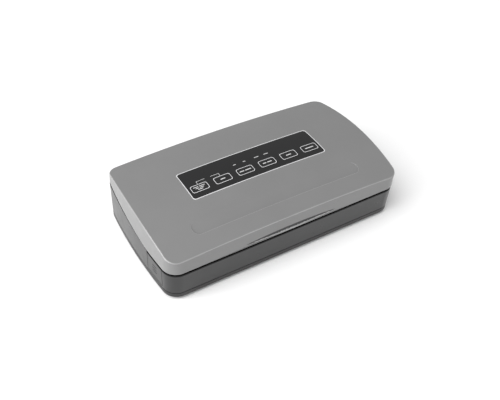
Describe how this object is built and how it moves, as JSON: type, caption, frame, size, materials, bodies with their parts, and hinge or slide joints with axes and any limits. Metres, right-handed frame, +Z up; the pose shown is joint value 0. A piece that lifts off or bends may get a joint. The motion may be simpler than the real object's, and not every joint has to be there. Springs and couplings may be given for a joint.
{
  "type": "vacuum sealer",
  "caption": "Countertop vacuum sealer: hinged crowned lid with six-key panel over a dark base with side release buttons, sealing bar and vacuum tray.",
  "frame": {"origin": "centre of the bounding box's bottom face, on the surface the feet stand on", "axes": "+X along the machine, to the right as its user stands at the front, +Y towards the hinges at the back, +Z up"},
  "size_m": [0.3796, 0.2055, 0.0931],
  "materials": {
    "lid_plastic": "satin moulded, warm mid grey",
    "base_plastic": "satin moulded, charcoal",
    "cover_plastic": "fine texture, charcoal",
    "deck_plastic": "fine texture, dark grey",
    "panel_film": "printed film, near black",
    "panel_plastic": "moulded, black",
    "key_film": "printed film keys, near black",
    "lens_clear": "clear light pipe",
    "foot_rubber": "soft black rubber",
    "seal_foam": "closed-cell black foam",
    "press_silicone": "red-brown silicone",
    "hose_silicone": "milky silicone tube",
    "tape_cloth": "coated glass cloth, tan",
    "steel": "bright zinc-plated steel",
    "heater_metal": "flat resistance ribbon",
    "board_laminate": "green circuit board",
    "part_black": "moulded component cases",
    "core_steel": "stacked lamination sheets",
    "coil_copper": "enamelled copper winding",
    "tray_plastic": "smooth grey tray"
  },
  "bodies": {
    "base": {"base_housing": "base_plastic", "bottom_cover": "cover_plastic", "feet": "foot_rubber", "cover_screws": "steel", "work_deck": "deck_plastic", "vacuum_tray": "tray_plastic", "lower_gasket": "seal_foam", "heater_bed": "part_black", "heating_wire": "heater_metal", "ptfe_tape": "tape_cloth", "hinge_pins": "steel", "latch_brackets": "steel", "latch_pins": "steel", "latch_springs": "steel", "lid_switch": "part_black", "pump_motor": "steel", "motor_mount": "part_black", "pump_head": "part_black", "vacuum_hose": "hose_silicone", "transformer_core": "core_steel", "transformer_winding": "coil_copper", "power_board": "board_laminate", "board_parts": "part_black", "cord_gland": "foot_rubber"},
    "lid": {"lid_shell": "lid_plastic", "lid_liner": "deck_plastic", "press_bar_holder": "part_black", "press_bar": "press_silicone", "upper_gasket": "seal_foam", "latch_hooks": "part_black", "lid_screws": "steel", "panel_frame": "panel_plastic", "panel_overlay": "panel_film", "indicator_lenses": "lens_clear", "control_board": "board_laminate", "key_switches": "part_black", "board_screws": "steel"},
    "key_vacuum_seal": {"key_vacuum_seal": "key_film"},
    "key_seal": {"key_seal": "key_film"},
    "key_food_mode": {"key_food_mode": "key_film"},
    "key_speed": {"key_speed": "key_film"},
    "key_pulse": {"key_pulse": "key_film"},
    "key_canister": {"key_canister": "key_film"},
    "release_button_left": {"release_button_left": "base_plastic"},
    "release_button_right": {"release_button_right": "base_plastic"},
    "latch_lever_left": {"latch_lever_left": "part_black"},
    "latch_lever_right": {"latch_lever_right": "part_black"},
    "switch_plunger": {"switch_plunger": "part_black"},
    "pump_crank": {"pump_crank": "steel"}
  },
  "joints": [
    {"name": "lid_hinge", "type": "hinge", "parent": "base", "child": "lid", "pos_m": [0, 0.09875, 0.07], "axis": [-1, 0, 0], "range_deg": [0, 75]},
    {"name": "key_vacuum_seal_press", "type": "slide", "parent": "lid", "child": "key_vacuum_seal", "axis": [0, 0, -1], "range_m": [0, 0.0005], "stiffness_N_per_m": 1500},
    {"name": "key_seal_press", "type": "slide", "parent": "lid", "child": "key_seal", "axis": [0, 0, -1], "range_m": [0, 0.0005], "stiffness_N_per_m": 1500},
    {"name": "key_food_mode_press", "type": "slide", "parent": "lid", "child": "key_food_mode", "axis": [0, 0, -1], "range_m": [0, 0.0005], "stiffness_N_per_m": 1500},
    {"name": "key_speed_press", "type": "slide", "parent": "lid", "child": "key_speed", "axis": [0, 0, -1], "range_m": [0, 0.0005], "stiffness_N_per_m": 1500},
    {"name": "key_pulse_press", "type": "slide", "parent": "lid", "child": "key_pulse", "axis": [0, 0, -1], "range_m": [0, 0.0005], "stiffness_N_per_m": 1500},
    {"name": "key_canister_press", "type": "slide", "parent": "lid", "child": "key_canister", "axis": [0, 0, -1], "range_m": [0, 0.0005], "stiffness_N_per_m": 1500},
    {"name": "release_left", "type": "slide", "parent": "base", "child": "release_button_left", "axis": [1, 0, 0], "range_m": [0, 0.003], "stiffness_N_per_m": 600},
    {"name": "release_right", "type": "slide", "parent": "base", "child": "release_button_right", "axis": [-1, 0, 0], "range_m": [0, 0.003], "stiffness_N_per_m": 600},
    {"name": "latch_left", "type": "hinge", "parent": "base", "child": "latch_lever_left", "pos_m": [-0.164, -0.063, 0.02], "axis": [0, 1, 0], "range_deg": [0, 10.75]},
    {"name": "latch_right", "type": "hinge", "parent": "base", "child": "latch_lever_right", "pos_m": [0.164, -0.063, 0.02], "axis": [0, -1, 0], "range_deg": [0, 10.75]},
    {"name": "lid_switch_press", "type": "slide", "parent": "base", "child": "switch_plunger", "axis": [0, 0, -1], "range_m": [0, 0.0015], "stiffness_N_per_m": 300},
    {"name": "pump_turn", "type": "hinge", "parent": "base", "child": "pump_crank", "pos_m": [-0.038, 0.038, 0.023], "axis": [1, 0, 0], "continuous": true}
  ],
  "couplings": [
    {"joint": "latch_left", "follows": "release_left", "rad_per_m": 62.5},
    {"joint": "latch_right", "follows": "release_right", "rad_per_m": 62.5}
  ]
}
